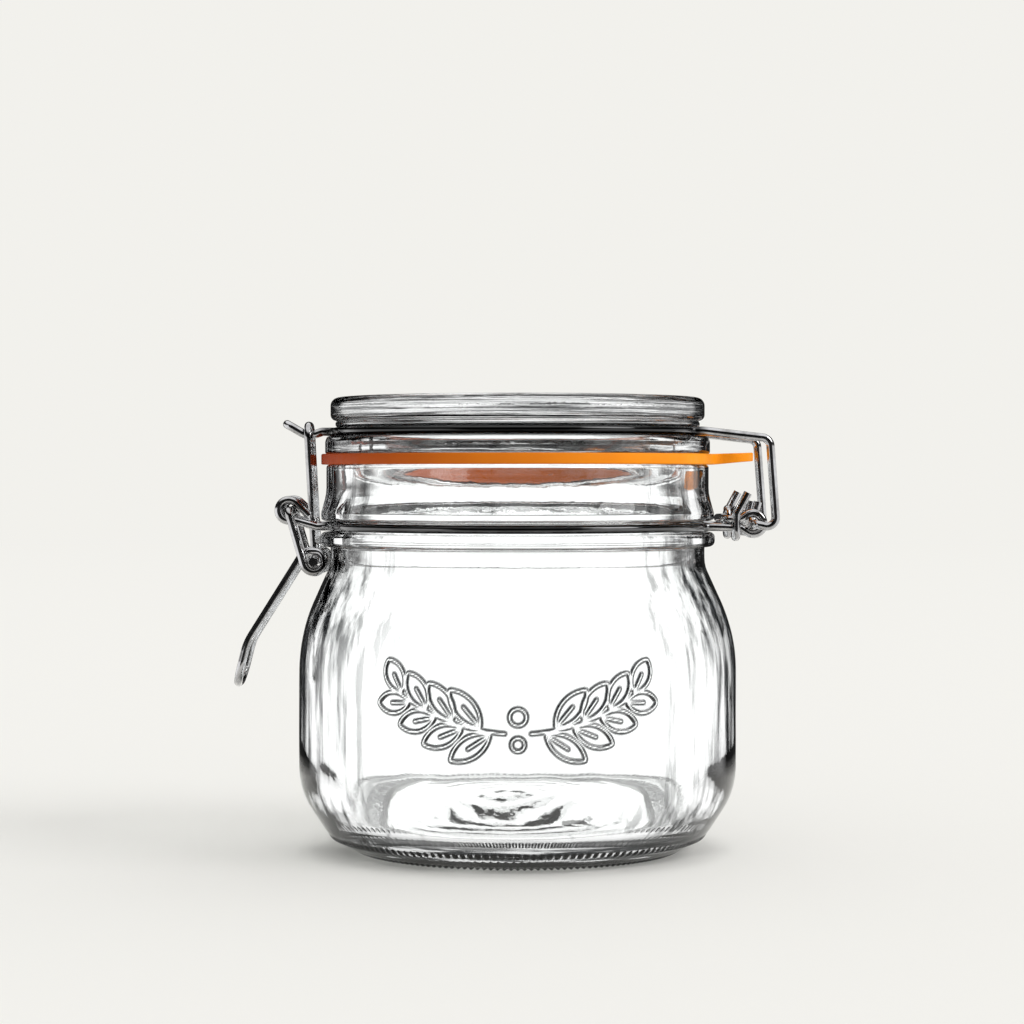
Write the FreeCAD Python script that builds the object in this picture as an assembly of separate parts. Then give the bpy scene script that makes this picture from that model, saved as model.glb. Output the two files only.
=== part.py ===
import FreeCAD, Part
import math
import os

# Clip-top preserving jar, closed and latched.
#
# All sizes in millimetres, +Z up. The latch is on the -X side and the hinge on
# the +X side; Y = 0 is the plane of symmetry. The sizes below are counted from
# the jar's own axis, in the plane that its base stands on. The finished pieces
# are then moved along X, so that the origin is the middle of the whole object's
# length in that plane: see origin_x.

# ---------------------------------------------------------------- sizes
# Steel wire, one gauge throughout
wire_d = 2.0                 # wire diameter
wire_seat = 0.1              # gap between a wire ring and the groove it lies in
eye_clearance = 0.5          # gap between a pin and the wire eye or coil round it
side_clearance = 0.4         # gap sideways between wires that turn past each other

# Jar body. The neck, the lid, the latch and the hinge all follow waist_r
waist_r = 45.7               # radius of the waist between shoulder and collar
belly_r = 53.4               # largest outside radius
belly_low = 15.0             # height where the heel meets the belly
belly_high = 52.5            # height where the shoulder leaves the belly
shoulder_round = 42.0        # rounding of the shoulder outside
heel_round = 18.0            # rounding of the heel outside
bearing_r = 39.2             # outer radius of the ring that it stands on
bearing_width = 3.6          # width of that ring
heel_r = 46.2                # radius at the middle of the heel
heel_z = 3.9                 # height at the middle of the heel
push_up = 3.2                # rise of the underside at its centre
push_up_fall = 0.8           # how much lower the underside is at its edge
push_up_slope = 2.4          # width of the step from there down to the ring
base_thickness = 5.4         # glass under the inside's lowest ring
base_dome = 1.8              # rise of the inside's floor at its centre
body_wall = 3.8              # glass thickness of belly and shoulder
heel_wall = 3.6              # glass thickness at the heel
floor_edge = 10.0            # how far inside the heel the flat floor begins
inner_heel_rise = 3.2        # how much higher the heel starts inside than outside
inner_waist_rise = 2.5       # the same for the waist
inner_shoulder_drop = 2.0    # how much lower the shoulder starts inside
waist_low = 69.5             # height of the foot of the waist
collar_r = waist_r + 2.5     # radius of the collar bead
collar_z = 74.1              # underside of the collar bead
collar_height = 3.5          # height of the collar bead
neck_groove_spare = 0.8      # how much higher the neck wire's groove is than the wire
neck_groove_depth = 0.7      # how much smaller the groove is than the waist
neck_lip_r = waist_r + 2.3   # radius of the lip above that groove
neck_lip_height = 1.8        # straight height of that lip
neck_flare = 4.8             # height over which the lip narrows to the neck
neck_r = waist_r + 1.0       # outside radius of the neck
mouth_r = waist_r - 5.1      # inside radius of the mouth
neck_bore_r = waist_r - 3.3  # inside radius at the foot of the neck, which tapers
neck_bore_z = 81.0           # height of the foot of the neck's taper
rim_z = 94.0                 # height of the mouth's flat rim
mouth_land = 1.2             # height of the straight stretch inside the rim

# Seal
seal_thickness = 2.6
seal_r = waist_r + 2.3       # outside radius of the rubber ring
seal_bore_r = waist_r - 4.5  # inside radius of the rubber ring
tab_length = 9.6             # pull tab, measured from the ring's outside
tab_width = 12.0
tab_thickness = 2.1
tab_rise = 0.6               # how much the tab's end stands above its root
tab_root = 1.5               # how far the tab reaches into the ring

# Lid
lid_height = 13.7            # from the seal's top face to the lid's top
flange_r = waist_r + 1.3     # flange that lies on the seal
flange_height = 4.3
flange_bevel = (0.4, 1.4)    # bevel of its upper edge, inwards and downwards
lid_groove_spare = 0.3       # how much higher the lid wire's groove is than the wire
lid_groove_depth = 1.2       # depth of that groove under the bead
lid_bead_r = waist_r - 1.2   # small bead above the groove
lid_bead_height = 1.5
lid_bead_bevel = (0.6, 0.5)  # bevel of the bead's upper edge, inwards and downwards
lid_rim_r = waist_r          # upper rim
lid_rim_inner_r = waist_r - 7.1  # inner edge of the upper rim
lid_rim_slope = 1.6          # width of the slope from the rim's top to that edge
lid_recess = 1.4             # depth of the shallow field inside the upper rim
lid_plate = 4.3              # glass thickness of the lid's plate
plug_r = waist_r - 6.3       # ring under the lid that centres it in the mouth
plug_wall = 6.4
plug_depth = 3.6             # how far that ring reaches below the flange
plug_draft = 0.5             # how much the ring narrows downwards outside
hollow_draft = 0.8           # and how much the hollow narrows upwards inside

# Latch
lever_pivot = (-waist_r - 9.7, 82.9)  # (x, z) of the eyes on the neck wire
lever_coil = (-waist_r - 3.5, 70.5)  # (x, z) of the coils that carry the link
handle_knee = (-waist_r - 19.9, 50.8)  # (x, z) where the handle bends
handle_tip = (-waist_r - 22.4, 40.8)  # (x, z) of the handle's cross piece
handle_offset = 3.4          # distance of the handle's line from the coil's centre
handle_knee_radius = 14.0
handle_end_radius = 5.5      # bends at the ends of the handle's cross piece
link_half = 4.8              # half the distance between the link's legs
link_x = -waist_r - 5.3      # where the link's arch lies over the nose
link_arch_radius = 3.2
link_pin_spare = 0.8         # how far the link's pins reach out of the coils
arch_gap = 0.15              # gap between the link's arch and the nose
nose_half = 1.3              # half the distance between the nose's two strands
nose_tip = (-waist_r - 10.7, rim_z + 9.9)  # (x, z) of the nose's rounded end
nose_dip = 0.7               # how far the nose dips before it turns up
nose_seat = (1.2, 1.0)       # the dip's length, behind and before the link's arch
nose_bend = 3.0              # bends of the dip
eye_run = 1.6                # straight run under each front eye
tail_angle = 46.0            # where the wire leaves each front eye, in degrees
tail_length = 4.4            # straight end of the wire past each front eye

# Hinge
hinge_axis = (waist_r + 10.9, 79.8)  # (x, z) of the lid's turning axis
arm_half = 17.0              # half the distance between the lid wire's arms
arm_top = (waist_r + 14.5, rim_z + 6.2)  # (x, z) of the arms' upper bend
arm_foot = (waist_r + 16.1, 78.5)  # (x, z) of the arms' lower bend
rear_eye_half = 12.5         # half the distance between the hinge eyes
pin_tail_half = 9.0          # where the hinge pins' ends turn up
pin_tail_length = 5.4
pin_tail_lean = 16.0         # degrees that those ends lean outwards
legs_x = waist_r + 7.9       # where a hinge eye's legs come together
leg_gap = 0.1                # gap between those legs
tie_x = waist_r + 6.7        # where a turn of wire ties those legs
tie_gap = 0.15               # gap between that turn and the legs
tie_bend = 1.9               # bends of the turn
tie_tail = (2.8, 4.2)        # how far the turn's end reaches outwards and up
tie_shoulder = 1.0           # how far under the turn's top its end leaves it
bar_x = waist_r + 4.2        # cross piece between the two hinge eyes

# Bends of the wire
lead_radius = 3.0            # where a strand leaves a ring
lead_straight = 1.2          # straight run after that
slight_radius = 1.5          # bends of a few degrees
wide_radius = 4.0            # where the arms leave the lid's groove
bend_radius = 2.2            # ordinary bends
tight_radius = 1.7           # bends next to a pin or an eye
pin_radius = 1.6             # bends at the lever's pins
bar_radius = 1.4             # ends of the cross piece between the hinge eyes
seam = 0.02                  # straight run left between two bends that nearly meet

# ------------------------------------------------------------ derived sizes
wire_r = wire_d / 2
eye_radius = wire_d + eye_clearance              # centreline of eyes and coils
layer = wire_d + side_clearance                  # spacing of wires that pass

neck_groove_z = collar_z + collar_height
neck_groove_height = wire_d + neck_groove_spare
neck_lip_z = neck_groove_z + neck_groove_height
neck_wire_z = neck_groove_z + neck_groove_height / 2
neck_groove_r = waist_r - neck_groove_depth
neck_ring_r = neck_groove_r + wire_seat + wire_r

seal_z = rim_z
flange_z = seal_z + seal_thickness
lid_groove_height = wire_d + lid_groove_spare
lid_groove_z = flange_z + flange_height
lid_wire_z = lid_groove_z + lid_groove_height / 2
lid_groove_r = lid_bead_r - lid_groove_depth
lid_ring_r = lid_groove_r + wire_seat + wire_r
lid_bead_z = lid_groove_z + lid_groove_height
lid_rim_z = lid_bead_z + lid_bead_height
lid_top_z = flange_z + lid_height

# Latch layers, counted outwards from the link's legs
handle_half = link_half + wire_d + eye_clearance
lever_leg_half = handle_half + layer
eye_half = lever_leg_half - layer
link_pin_end = lever_leg_half + wire_r + link_pin_spare
lever_pin_end = eye_half - wire_r
leg_half = wire_r + leg_gap / 2
nose_z = lid_wire_z - nose_dip
link_z = nose_z + wire_d + arch_gap

# Middle of the length from the handle's cross piece to the hinge arms
origin_x = (handle_tip[0] + arm_foot[0]) / 2


# ------------------------------------------------------------ helpers
def vec(x, y, z):
    return FreeCAD.Vector(x, y, z)


def corner_arc(before, corner, after, radius):
    """Start, middle and end of the arc that rounds a corner of a path."""
    into = (corner - before).normalize()
    out = (after - corner).normalize()
    turn = into.getAngle(out)
    if turn < 1e-4:
        return None
    setback = radius * math.tan(turn / 2)
    start = corner - into * setback
    end = corner + out * setback
    inward = (out - into).normalize()
    centre = corner + inward * (radius / math.cos(turn / 2))
    middle = centre - inward * radius
    return start, middle, end


def bent_edges(points, radii):
    """Straight runs through the points, each inner corner rounded."""
    edges = []
    last = points[0]
    for i in range(1, len(points) - 1):
        arc = corner_arc(points[i - 1], points[i], points[i + 1], radii[i - 1])
        if arc is None:
            continue
        start, middle, end = arc
        if (start - last).Length > 1e-4:
            edges.append(Part.LineSegment(last, start).toShape())
        edges.append(Part.Arc(start, middle, end).toShape())
        last = end
    if (points[-1] - last).Length > 1e-4:
        edges.append(Part.LineSegment(last, points[-1]).toShape())
    return edges


def sweep_wire(edges):
    """Round wire along a chain of tangent edges, with flat cut ends."""
    path = Part.Wire(Part.__sortEdges__(edges))
    first = path.OrderedEdges[0]
    start = path.OrderedVertexes[0].Point
    at_start = (first.valueAt(first.FirstParameter) - start).Length < 1e-4
    parameter = first.FirstParameter if at_start else first.LastParameter
    along = first.tangentAt(parameter)
    section = Part.Wire([Part.Circle(start, along, wire_r).toShape()])
    rod = path.makePipe(section)
    if rod.ShapeType != "Solid":
        rod = path.makePipeShell([section], True, False)
    return rod


def mirrored(points):
    """The same points on the far side of the plane of symmetry."""
    return [vec(p.x, -p.y, p.z) for p in points]


def revolved(outline):
    """Solid of revolution from (radius, height, corner rounding) points."""
    points = [vec(r, 0, z) for r, z, _ in outline]
    rounding = [c for _, _, c in outline[1:-1]]
    edges = bent_edges(points, rounding)
    if outline[0][0] == 0:
        edges.append(Part.LineSegment(points[-1], points[0]).toShape())
    face = Part.Face(Part.Wire(Part.__sortEdges__(edges)))
    return face.revolve(vec(0, 0, 0), vec(0, 0, 1), 360)


def ring_lead(ring_radius, half, side):
    """Where a strand at y = half leaves a ring, and where its bend ends.

    The bend lies outside the ring and touches it; side is -1 for the latch
    and +1 for the hinge.
    """
    centre_r = ring_radius + lead_radius
    centre_y = half + lead_radius
    centre_x = side * math.sqrt(centre_r ** 2 - centre_y ** 2)
    scale = ring_radius / centre_r
    on_ring = (centre_x * scale, centre_y * scale)
    on_strand = (centre_x, half)
    away = math.hypot(on_ring[0] - centre_x, on_ring[1] - centre_y)
    mid_x = (on_ring[0] + on_strand[0]) / 2 - centre_x
    mid_y = (on_ring[1] + on_strand[1]) / 2 - centre_y
    reach = away / math.hypot(mid_x, mid_y)
    middle = (centre_x + mid_x * reach, centre_y + mid_y * reach)
    return on_ring, middle, on_strand


def lead_edge(lead, z, y_sign):
    points = [vec(x, y * y_sign, z) for x, y in lead]
    return Part.Arc(points[0], points[1], points[2]).toShape()


def half_ring(radius, z, front, rear, y_sign):
    """The part of a wire ring on one side, between two leads."""
    start = vec(front[0], front[1] * y_sign, z)
    end = vec(rear[0], rear[1] * y_sign, z)
    return Part.Arc(start, vec(0, radius * y_sign, z), end).toShape()


def circle_tangent(point, centre, radius, side):
    """Unit direction of the line from point that touches a circle."""
    to_centre = math.atan2(centre[1] - point[1], centre[0] - point[0])
    distance = math.hypot(centre[0] - point[0], centre[1] - point[1])
    angle = to_centre + side * math.asin(radius / distance)
    return math.cos(angle), math.sin(angle)


def on_circle(centre, angle):
    """(x, z) on an eye's centreline at an angle in degrees."""
    a = math.radians(angle)
    return centre[0] + eye_radius * math.cos(a), centre[1] + eye_radius * math.sin(a)


def eye_edges(centre, y, start_angle, end_angle):
    """Arc round an eye's centre in a plane y = const, angles in degrees."""
    points = []
    for angle in (start_angle, (start_angle + end_angle) / 2, end_angle):
        x, z = on_circle(centre, angle)
        points.append(vec(x, y, z))
    return Part.Arc(points[0], points[1], points[2]).toShape()


# ------------------------------------------------------------ glass jar
def glass_jar():
    inner_r = belly_r - body_wall
    outline = [
        (0, push_up, 0),
        (bearing_r - bearing_width - push_up_slope, push_up - push_up_fall, 2.0),
        (bearing_r - bearing_width, 0, 0.8),
        (bearing_r, 0, 1.2),
        (heel_r, heel_z, 10.0),
        (belly_r, belly_low, heel_round),
        (belly_r, belly_high, shoulder_round),
        (waist_r, waist_low, 9.0),
        (waist_r, collar_z, 0.5),
        (collar_r, collar_z, 1.3),
        (collar_r, neck_groove_z, 1.3),
        (neck_groove_r, neck_groove_z, 0.6),
        (neck_groove_r, neck_lip_z, 0.6),
        (neck_lip_r, neck_lip_z, 0.8),
        (neck_lip_r, neck_lip_z + neck_lip_height, 2.0),
        (neck_r, neck_lip_z + neck_lip_height + neck_flare, 10.0),
        (neck_r, rim_z, 0.8),
        (mouth_r, rim_z, 0.8),
        (mouth_r, rim_z - mouth_land, 6.0),
        (neck_bore_r, neck_bore_z, 10.0),
        (neck_bore_r, waist_low + inner_waist_rise, 12.0),
        (inner_r, belly_high - inner_shoulder_drop, shoulder_round - 6.0),
        (inner_r, belly_low + inner_heel_rise, heel_round - 5.0),
        (heel_r - heel_wall, base_thickness + 1.6, 8.0),
        (heel_r - floor_edge, base_thickness, 8.0),
        (0, base_thickness + base_dome, 0),
    ]
    return revolved(outline)


# ------------------------------------------------------------ lid and seal
def glass_lid():
    plate_under = lid_top_z - lid_recess - lid_plate
    hollow_r = plug_r - plug_wall
    outline = [
        (0, lid_top_z - lid_recess, 0),
        (lid_rim_inner_r, lid_top_z - lid_recess, 1.5),
        (lid_rim_inner_r + lid_rim_slope, lid_top_z, 1.0),
        (lid_rim_r, lid_top_z, 2.0),
        (lid_rim_r, lid_rim_z, 1.4),
        (lid_bead_r - lid_bead_bevel[0], lid_rim_z, 0.2),
        (lid_bead_r, lid_rim_z - lid_bead_bevel[1], 0.4),
        (lid_bead_r, lid_bead_z, 0.5),
        (lid_groove_r, lid_bead_z, 0.5),
        (lid_groove_r, lid_groove_z, 0.5),
        (flange_r - flange_bevel[0], lid_groove_z, 0.8),
        (flange_r, lid_groove_z - flange_bevel[1], 0.8),
        (flange_r, flange_z, 0.5),
        (plug_r, flange_z, 0.5),
        (plug_r - plug_draft, flange_z - plug_depth, 1.2),
        (hollow_r, flange_z - plug_depth, 2.0),
        (hollow_r - hollow_draft, plate_under, 4.0),
        (0, plate_under, 0),
    ]
    return revolved(outline)


def seal_ring():
    section = [
        (seal_bore_r, seal_z),
        (seal_r, seal_z),
        (seal_r, seal_z + seal_thickness),
        (seal_bore_r, seal_z + seal_thickness),
    ]
    points = [vec(r, 0, z) for r, z in section]
    face = Part.Face(Part.makePolygon(points + [points[0]]))
    ring = face.revolve(vec(0, 0, 0), vec(0, 0, 1), 360)
    # The pull tab: a flat tongue with a half-round end, bent slightly upwards
    root = seal_r - tab_root
    straight = seal_r + tab_length - tab_width / 2
    half = tab_width / 2
    low = seal_z + (seal_thickness - tab_thickness) / 2
    corners = [vec(root, -half, low), vec(straight, -half, low)]
    end = vec(seal_r + tab_length, 0, low)
    far = [vec(straight, half, low), vec(root, half, low)]
    edges = [
        Part.LineSegment(corners[0], corners[1]).toShape(),
        Part.Arc(corners[1], end, far[0]).toShape(),
        Part.LineSegment(far[0], far[1]).toShape(),
        Part.LineSegment(far[1], corners[0]).toShape(),
    ]
    tab = Part.Face(Part.Wire(edges)).extrude(vec(0, 0, tab_thickness))
    tilt = math.degrees(math.atan2(tab_rise, tab_length))
    tab.rotate(vec(root, 0, low + tab_thickness / 2), vec(0, 1, 0), -tilt)
    return ring.fuse(tab).removeSplitter().Solids[0]


# ------------------------------------------------------------ wires
def lid_wire():
    """Ring in the lid's groove, nose in front, arms and hinge pins behind."""
    nose_lead = ring_lead(lid_ring_r, nose_half, -1)
    arm_lead = ring_lead(lid_ring_r, arm_half, 1)
    edges = []
    for side in (-1, 1):
        edges.append(half_ring(lid_ring_r, lid_wire_z, nose_lead[0], arm_lead[0], side))
        edges.append(lead_edge(nose_lead, lid_wire_z, side))
        edges.append(lead_edge(arm_lead, lid_wire_z, side))
        y = arm_half * side
        pin_y = pin_tail_half * side
        lean = math.radians(pin_tail_lean)
        tail_x = hinge_axis[0] + pin_tail_length * math.sin(lean)
        tail_z = hinge_axis[1] + pin_tail_length * math.cos(lean)
        arm = [
            vec(arm_lead[2][0], y, lid_wire_z),
            vec(arm_lead[2][0] + lead_straight, y, lid_wire_z),
            vec(arm_top[0], y, arm_top[1]),
            vec(arm_foot[0], y, arm_foot[1]),
            vec(hinge_axis[0], y, hinge_axis[1]),
            vec(hinge_axis[0], pin_y, hinge_axis[1]),
            vec(tail_x, pin_y, tail_z),
        ]
        bends = [wide_radius, bend_radius, bend_radius, tight_radius, tight_radius]
        edges += bent_edges(arm, bends)
    # The nose: two strands that dip, turn up and join in a round end
    strand = [
        vec(nose_lead[2][0], -nose_half, lid_wire_z),
        vec(nose_lead[2][0] - lead_straight / 2, -nose_half, lid_wire_z),
        vec(link_x + nose_seat[0], -nose_half, nose_z),
        vec(link_x - nose_seat[1], -nose_half, nose_z),
        vec(nose_tip[0], -nose_half, nose_tip[1]),
    ]
    nose = strand + list(reversed(mirrored(strand)))
    turn = nose_half - seam
    half = [slight_radius, nose_bend, bend_radius, turn]
    edges += bent_edges(nose, half + list(reversed(half)))
    return sweep_wire(edges)


def neck_wire():
    """One wire: latch eye, half the neck, hinge eye, cross piece, and back."""
    front_lead = ring_lead(neck_ring_r, eye_half, -1)
    rear_lead = ring_lead(neck_ring_r, rear_eye_half, 1)
    upper_z = hinge_axis[1] + leg_half
    lower_z = hinge_axis[1] - leg_half
    # A hinge eye's legs come together at legs_x, inside the tie
    leg_x, leg_z = circle_tangent((legs_x, upper_z), hinge_axis, eye_radius, 1)
    touch = math.degrees(math.atan2(leg_z, leg_x)) + 90
    top_x, top_z = on_circle(hinge_axis, touch)
    low_x, low_z = on_circle(hinge_axis, -touch)
    off_x, off_z = on_circle(lever_pivot, tail_angle)
    a = math.radians(tail_angle)
    end_x = off_x + tail_length * math.sin(a)
    end_z = off_z - tail_length * math.cos(a)
    under_eye = lever_pivot[1] - eye_radius
    edges = []
    for side in (-1, 1):
        y = rear_eye_half * side
        edges.append(half_ring(neck_ring_r, neck_wire_z, front_lead[0], rear_lead[0], side))
        edges.append(lead_edge(front_lead, neck_wire_z, side))
        edges.append(lead_edge(rear_lead, neck_wire_z, side))
        strand = [
            vec(rear_lead[2][0], y, neck_wire_z),
            vec(rear_lead[2][0] + lead_straight / 3, y, neck_wire_z),
            vec(legs_x, y, lower_z),
            vec(low_x, y, low_z),
        ]
        edges += bent_edges(strand, [tight_radius, tight_radius])
        edges.append(eye_edges(hinge_axis, y, -touch, touch))
        # Latch side: along to the eye, round it, and back down to the strand
        y_eye = eye_half * side
        front = [
            vec(front_lead[2][0], y_eye, neck_wire_z),
            vec(front_lead[2][0] - lead_straight / 2, y_eye, neck_wire_z),
            vec(lever_pivot[0] + eye_run, y_eye, under_eye),
            vec(lever_pivot[0], y_eye, under_eye),
        ]
        edges += bent_edges(front, [slight_radius, slight_radius])
        edges.append(eye_edges(lever_pivot, y_eye, 270, tail_angle))
        tail = Part.LineSegment(vec(off_x, y_eye, off_z), vec(end_x, y_eye, end_z))
        edges.append(tail.toShape())
    # The upper legs of the two hinge eyes, joined by the cross piece
    leg = [
        vec(top_x, -rear_eye_half, top_z),
        vec(legs_x, -rear_eye_half, upper_z),
        vec(bar_x, -rear_eye_half, upper_z),
    ]
    half = [tight_radius, bar_radius]
    edges += bent_edges(leg + list(reversed(mirrored(leg))), half + list(reversed(half)))
    return sweep_wire(edges)


def hinge_tie(side):
    """One turn of wire round a hinge eye's two legs, with its end turned up."""
    y = rear_eye_half * side
    out = (wire_d + tie_gap) * side
    top = hinge_axis[1] + leg_half + wire_d + tie_gap
    bottom = hinge_axis[1] - leg_half - wire_d - tie_gap
    # The turn stops short of the strand that it started from
    end = out - (tie_bend + wire_r) * side
    points = [
        vec(tie_x + tie_tail[0], y + out, top + tie_tail[1]),
        vec(tie_x, y + out, top - tie_shoulder),
        vec(tie_x, y + out, bottom),
        vec(tie_x, y - out, bottom),
        vec(tie_x, y - out, top),
        vec(tie_x, y + end, top),
    ]
    return sweep_wire(bent_edges(points, [tie_bend, tie_bend, tie_bend, tie_bend]))


def lever():
    """Handle of one wire: pins in the neck eyes, a coil on each side, a U."""
    ex, ez = lever_coil
    px, pz = lever_pivot
    dx, dz = circle_tangent(lever_pivot, lever_coil, eye_radius, -1)
    floor_z = ez - eye_radius
    ceiling_z = ez + eye_radius
    first_x = px + dx * (floor_z - pz) / dz
    # The handle's line passes the coil's centre at handle_offset
    hx, hz = circle_tangent(handle_knee, lever_coil, handle_offset, 1)
    last_x = handle_knee[0] + hx * (ceiling_z - handle_knee[1]) / hz
    near = [
        vec(px, -lever_pin_end, pz),
        vec(px, -lever_leg_half, pz),
        vec(first_x, -lever_leg_half, floor_z),
        vec(ex + eye_radius, -lever_leg_half, floor_z),
        vec(ex + eye_radius, -(lever_leg_half + handle_half) / 2, ceiling_z),
        vec(last_x, -handle_half, ceiling_z),
        vec(handle_knee[0], -handle_half, handle_knee[1]),
        vec(handle_tip[0], -handle_half, handle_tip[1]),
    ]
    path = near + list(reversed(mirrored(near)))
    coil = eye_radius - seam
    half = [pin_radius, coil, coil, coil, coil, handle_knee_radius, handle_end_radius]
    return sweep_wire(bent_edges(path, half + list(reversed(half))))


def link():
    """Loop between the lever's coils and the nose of the lid wire."""
    ex, ez = lever_coil
    near = [
        vec(ex, -link_pin_end, ez),
        vec(ex, -link_half, ez),
        vec(link_x, -link_half, link_z),
    ]
    path = near + list(reversed(mirrored(near)))
    half = [tight_radius, link_arch_radius]
    return sweep_wire(bent_edges(path, half + list(reversed(half))))


nodes = {
    "glass_jar": glass_jar(),
    "neck_wire": neck_wire(),
    "hinge_tie_near": hinge_tie(-1),
    "hinge_tie_far": hinge_tie(1),
    "glass_lid": glass_lid(),
    "seal_ring": seal_ring(),
    "lid_wire": lid_wire(),
    "lever": lever(),
    "link": link(),
}

os.makedirs("parts", exist_ok=True)
for name, shape in nodes.items():
    shape.translate(vec(-origin_x, 0, 0))
    shape.exportStep(os.path.join("parts", name + ".step"))
    print(name, shape.ShapeType, shape.isValid(), round(shape.Volume, 1))
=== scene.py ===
import math

import bpy
import numpy as np
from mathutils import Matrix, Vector

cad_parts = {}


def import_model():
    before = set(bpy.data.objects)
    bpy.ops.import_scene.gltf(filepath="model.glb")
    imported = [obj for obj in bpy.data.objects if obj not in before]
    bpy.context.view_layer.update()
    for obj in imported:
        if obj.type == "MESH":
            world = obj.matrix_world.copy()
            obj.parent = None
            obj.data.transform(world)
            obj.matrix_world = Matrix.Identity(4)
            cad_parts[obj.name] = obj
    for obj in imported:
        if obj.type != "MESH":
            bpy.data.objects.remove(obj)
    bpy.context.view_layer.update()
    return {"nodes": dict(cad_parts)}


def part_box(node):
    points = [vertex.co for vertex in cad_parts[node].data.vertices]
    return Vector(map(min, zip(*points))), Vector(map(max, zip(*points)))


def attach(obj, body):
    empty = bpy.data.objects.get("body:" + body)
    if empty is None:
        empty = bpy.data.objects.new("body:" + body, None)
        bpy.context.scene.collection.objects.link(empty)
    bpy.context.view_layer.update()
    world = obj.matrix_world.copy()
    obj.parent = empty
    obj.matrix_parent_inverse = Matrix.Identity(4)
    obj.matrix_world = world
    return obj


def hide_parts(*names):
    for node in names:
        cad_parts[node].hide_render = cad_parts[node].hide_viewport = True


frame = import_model()

# Sizes are in millimetres, counted from the jar's own axis and the plane that
# it stands on, until a mesh is made. MM turns them into metres.
MM = 0.001

# ---------------------------------------------------------------- from the frame
jar_low, jar_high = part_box("glass_jar")
lid_low, lid_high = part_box("glass_lid")
seal_low, seal_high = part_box("seal_ring")
axis_x = (jar_low.x + jar_high.x) / 2
rim_z = jar_high.z / MM
belly_r = (jar_high.y - jar_low.y) / 2 / MM
lid_top_z = lid_high.z / MM
flange_r = (lid_high.y - lid_low.y) / 2 / MM
seal_r = (seal_high.y - seal_low.y) / 2 / MM
tab_end = (seal_high.x - axis_x) / MM

# ---------------------------------------------------------------- sizes
bearing_r = 39.2             # ring that the jar stands on
bearing_width = 3.6
heel_r = 46.2
heel_z = 3.9
push_up = 3.2                # rise of the underside at its centre
push_up_slope = 2.4          # width of the slope from the ring to the underside
push_up_drop = 0.8           # how much lower the underside is at that slope
belly_low = 15.0
belly_high = 52.5
waist_r = 45.7
waist_low = 69.5
collar_r = 48.2
collar_z = 74.1
neck_groove_z = 77.6
neck_groove_top = 80.4
neck_groove_r = 45.0
neck_lip_r = 48.0
neck_lip_height = 1.8
neck_taper = 6.6             # height, from the groove up, at which the neck is narrow
neck_r = 46.7
mouth_r = 40.6
mouth_land = 0.4             # straight stretch inside the rim
neck_swell_r = 41.07         # the neck widens slowly down to here
neck_swell_z = 89.2
neck_bore_r = 42.4           # the neck widens downwards to this
neck_bore_z = 81.0
body_wall = 3.8
shoulder_in_low = 50.5       # corners of the inside at the shoulder
shoulder_in_high = 72.0
inner_heel_z = 20.0          # here the inside starts to round off to the floor
inner_foot_r = 41.5
inner_foot_z = 6.4
floor_edge_r = 33.2          # edge of the floor's dome
floor_edge_z = 5.9
base_thickness = 5.4
base_dome = 1.8

flange_z = 96.6              # underside of the lid's flange
lid_groove_z = 100.9
lid_bead_z = 103.2
lid_rim_z = 104.7
lid_bead_r = 44.5
lid_groove_r = 43.3
lid_rim_r = 45.7
lid_rim_inner_r = 38.6
lid_recess = 1.4
lid_plate = 4.3
plug_r = 39.4
plug_wall = 6.4
plug_depth = 3.6
hollow_draft = 0.8           # slants of the lid's upright faces
plug_draft = 0.5
flange_draft = 0.4
flange_slant = 1.4
bead_slant_r = 0.6
bead_slant_z = 0.5
recess_slant = 1.6
lid_step = 0.9               # longest step along the lid's outline
lid_inner_step = 1.4         # the same further in than its plug

seal_bore_r = 41.2
seal_thickness = 2.6
tab_width = 12.0
tab_thickness = 2.1
tab_rise = 0.6
tab_fillet = 2.5
seal_edge_round = 0.3
seal_swell = 0.05            # unevenness of its outer edge
seal_round_steps = 300       # points along its round edge
seal_across_steps = 22       # rings of points from its bore to its edge
tab_end_steps = 24
tab_side_steps = 9
tab_fillet_steps = 7

# Relief of the glass
coarse_steps = 180           # columns round each glass piece
small_rounding = 1.5         # roundings up to this radius get fewer points
plain_step = 2.4             # longest step along the jar's outline
floor_step = 1.3             # the same on its floor and underside
tooth_parts = 5              # parts of a column round the foot
tooth_step = 0.5
tooth_count = 156            # notches round the ring that the jar stands on
tooth_depth = 0.5
stud_z = 3.7                 # height of the row of studs above them
stud_height = 0.35
stud_size = 0.6
foot_top = 5.1               # the foot's fine stretch ends here
foot_out_r = 48.7
seam_height = 0.12           # mould seams
seam_width = 0.35
body_wave = 0.13             # swell of the inner skin
neck_wave = 0.02
outer_wave = 0.05
lid_wave = 0.025
underside_ripple = 0.05
floor_ripple = 0.06
lid_ripple = 0.07
lid_sink = 0.05              # keeps that ripple inside the lid
mark_depth = 0.5             # the small ring on the underside
mark_place = (14.0, -14.0)
mark_r = 2.1
mark_width = 0.7

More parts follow.
